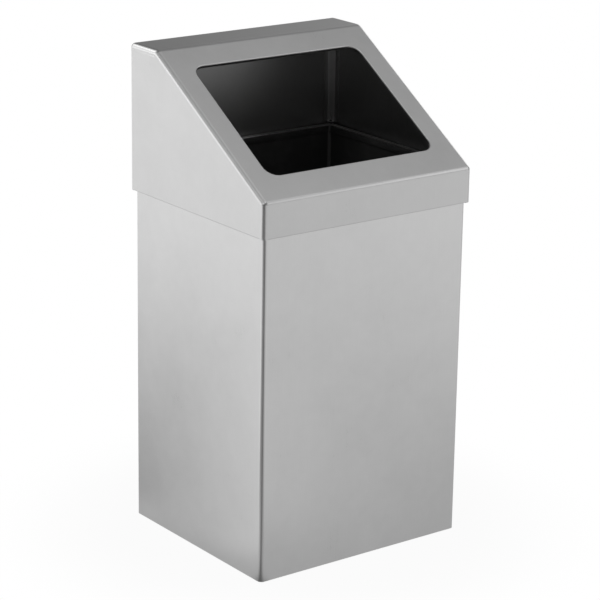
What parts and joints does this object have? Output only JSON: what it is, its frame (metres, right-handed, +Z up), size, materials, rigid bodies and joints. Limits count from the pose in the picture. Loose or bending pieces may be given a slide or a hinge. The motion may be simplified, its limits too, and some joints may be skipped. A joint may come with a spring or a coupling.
{
  "type": "waste receptacle",
  "caption": "Free-standing square waste bin of folded stainless sheet, with a lift-off hood whose sloping face has a wide rounded opening, and a lift-out black liner.",
  "frame": {"origin": "on the floor, under the middle of the body's footprint", "axes": "+Z up, +X to the right as seen from the front, +Y to the back; the low edge of the sloping face is at the front"},
  "size_m": [0.338, 0.304, 0.6653],
  "materials": {
    "stainless": "satin, fine vertical grain",
    "stainless_inner": "mill finish",
    "rubber": "matt black",
    "zinc_steel": "bright zinc plate",
    "liner_black": "matt black powder coat"
  },
  "bodies": {
    "body": {"body_wrap": "stainless", "body_back_panel": "stainless", "base_pan": "stainless_inner", "foot_front_left": "rubber", "foot_front_right": "rubber", "foot_rear_left": "rubber", "foot_rear_right": "rubber", "foot_screws": "zinc_steel", "foot_washers": "zinc_steel", "foot_nuts": "zinc_steel"},
    "hood": {"hood_cover": "stainless", "hood_cheek_left": "stainless", "hood_cheek_right": "stainless", "hood_strip_left": "stainless_inner", "hood_strip_right": "stainless_inner", "hood_buffer_left": "rubber", "hood_buffer_right": "rubber"},
    "liner": {"liner_wrap": "liner_black", "liner_bottom": "liner_black"}
  },
  "joints": [
    {"name": "hood_lift", "type": "slide", "parent": "body", "child": "hood", "axis": [0, 0, 1], "range_m": [0, 0.56]},
    {"name": "liner_lift", "type": "slide", "parent": "body", "child": "liner", "axis": [0, 0, 1], "range_m": [0, 0.504]}
  ],
  "couplings": [
    {"joint": "liner_lift", "follows": "hood_lift", "ratio": 0.9}
  ]
}
